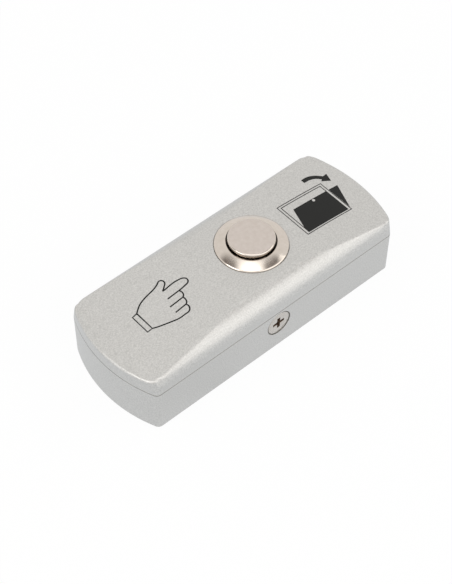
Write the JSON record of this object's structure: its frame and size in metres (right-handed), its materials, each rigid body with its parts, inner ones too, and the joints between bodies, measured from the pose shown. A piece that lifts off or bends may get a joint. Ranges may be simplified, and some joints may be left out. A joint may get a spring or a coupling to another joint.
{
  "type": "door exit button",
  "caption": "Slim surface-mounted door exit button: a crowned metal cover on a cast box, with a sprung round metal push button.",
  "frame": {"origin": "middle of the back face, which lies on the wall or table", "axes": "+X along the length towards the door pictogram, +Z out of the wall along the button's axis, -Y the front long side"},
  "size_m": [0.083, 0.032, 0.0231],
  "materials": {
    "cast_body": "fine silver metallic paint",
    "nickel": "nickel plated, polished bezel and satin cap",
    "nickel_nut": "nickel plated",
    "nickel_screw": "nickel plated",
    "zinc_steel": "zinc plated",
    "spring_steel": "bright spring steel",
    "brass": "rolled brass strip",
    "contact_silver": "silver contact rivet",
    "rubber": "black rubber",
    "black_plastic": "moulded black nylon"
  },
  "bodies": {
    "enclosure": {"base_box": "cast_body", "cover": "cast_body", "side_screws": "nickel_screw", "button_housing": "nickel", "flange_gasket": "rubber", "lock_washer": "zinc_steel", "lock_nut": "nickel_nut", "guide_plate": "black_plastic", "contact_block": "black_plastic", "return_spring": "spring_steel", "fixed_contacts": "contact_silver", "retaining_ring": "spring_steel", "terminal_left": "brass", "terminal_right": "brass", "terminal_screws": "zinc_steel", "clamp_washers": "zinc_steel"},
    "button": {"button_cap": "nickel", "cap_seal": "rubber", "plunger": "black_plastic", "contact_bridge": "brass", "bridge_clip": "spring_steel", "bridge_contacts": "contact_silver"}
  },
  "joints": [
    {"name": "button_press", "type": "slide", "parent": "enclosure", "child": "button", "axis": [0, 0, -1], "range_m": [0, 0.0012], "stiffness_N_per_m": 600, "springref_m": -0.003, "deforming": ["return_spring"]}
  ]
}
